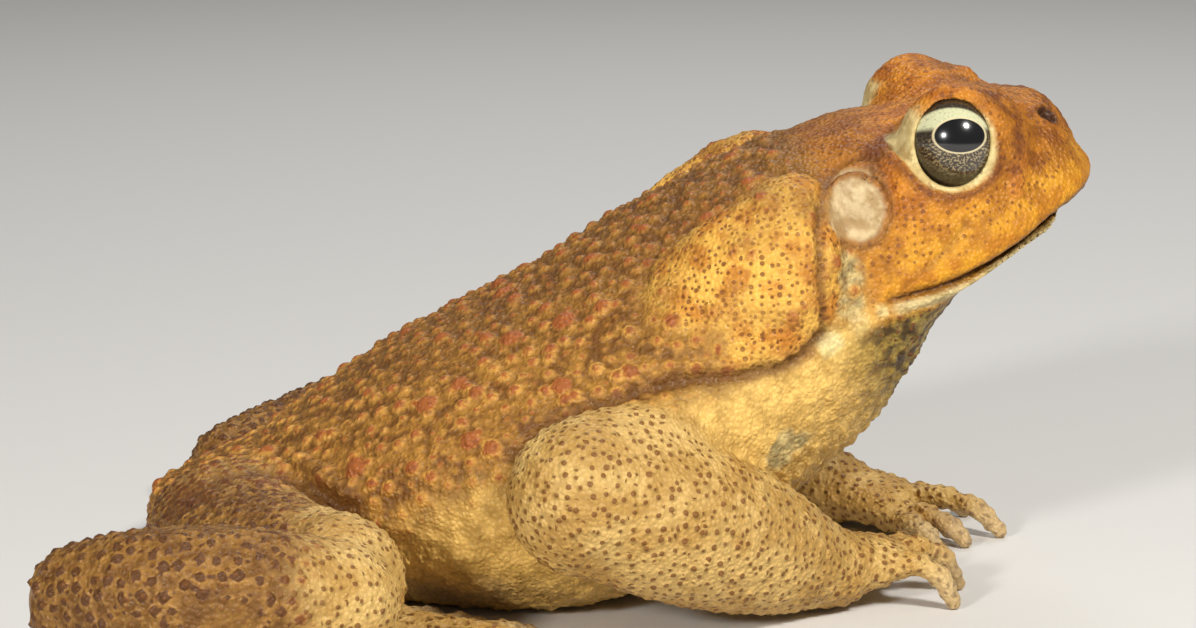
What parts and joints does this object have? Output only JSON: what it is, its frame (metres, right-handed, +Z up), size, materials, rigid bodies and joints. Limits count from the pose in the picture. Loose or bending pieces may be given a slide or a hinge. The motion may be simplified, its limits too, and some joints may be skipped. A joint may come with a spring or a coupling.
{
  "type": "cane toad",
  "caption": "Still life-size cane toad sitting with its hind legs folded, belly down and head raised, with warty skin, ridged brows and a large gland behind each eardrum",
  "frame": {"origin": "middle of the footprint's bounding box, on the ground under the belly", "axes": "+X the way the toad faces, +Y to its left, +Z up"},
  "size_m": [0.134, 0.1164, 0.0657],
  "materials": {
    "back_skin": "dry to slightly damp warty skin, ochre brown with red-brown wart tips",
    "limb_skin": "dry granular skin, tan with small dark brown spots",
    "belly_skin": "finely granular yellow-cream skin with faint grey marbling",
    "gland_skin": "smooth orange-ochre skin with many small dark pores",
    "eardrum": "thin smooth membrane, pale pinkish cream",
    "eye": "wet glossy eye with a black horizontal pupil, a pale gold ring and a dark flecked iris"
  },
  "bodies": {
    "root": {"eardrum_left": "eardrum", "eardrum_right": "eardrum", "eye_left": "eye", "eye_right": "eye", "eyelid_left": "back_skin", "eyelid_right": "back_skin", "finger_1_left": "limb_skin", "finger_1_right": "limb_skin", "finger_2_left": "limb_skin", "finger_2_right": "limb_skin", "finger_3_left": "limb_skin", "finger_3_right": "limb_skin", "finger_4_left": "limb_skin", "finger_4_right": "limb_skin", "foot_left": "limb_skin", "foot_right": "limb_skin", "forearm_left": "limb_skin", "forearm_right": "limb_skin", "hand_left": "limb_skin", "hand_right": "limb_skin", "head": "back_skin", "hindquarters": "back_skin", "lower_jaw": "belly_skin", "parotoid_gland_left": "gland_skin", "parotoid_gland_right": "gland_skin", "shank_left": "limb_skin", "shank_right": "limb_skin", "thigh_left": "limb_skin", "thigh_right": "limb_skin", "toe_1_left": "limb_skin", "toe_1_right": "limb_skin", "toe_2_left": "limb_skin", "toe_2_right": "limb_skin", "toe_3_left": "limb_skin", "toe_3_right": "limb_skin", "toe_4_left": "limb_skin", "toe_4_right": "limb_skin", "toe_5_left": "limb_skin", "toe_5_right": "limb_skin", "trunk": "back_skin", "upper_arm_left": "limb_skin", "upper_arm_right": "limb_skin"}
  },
  "joints": []
}
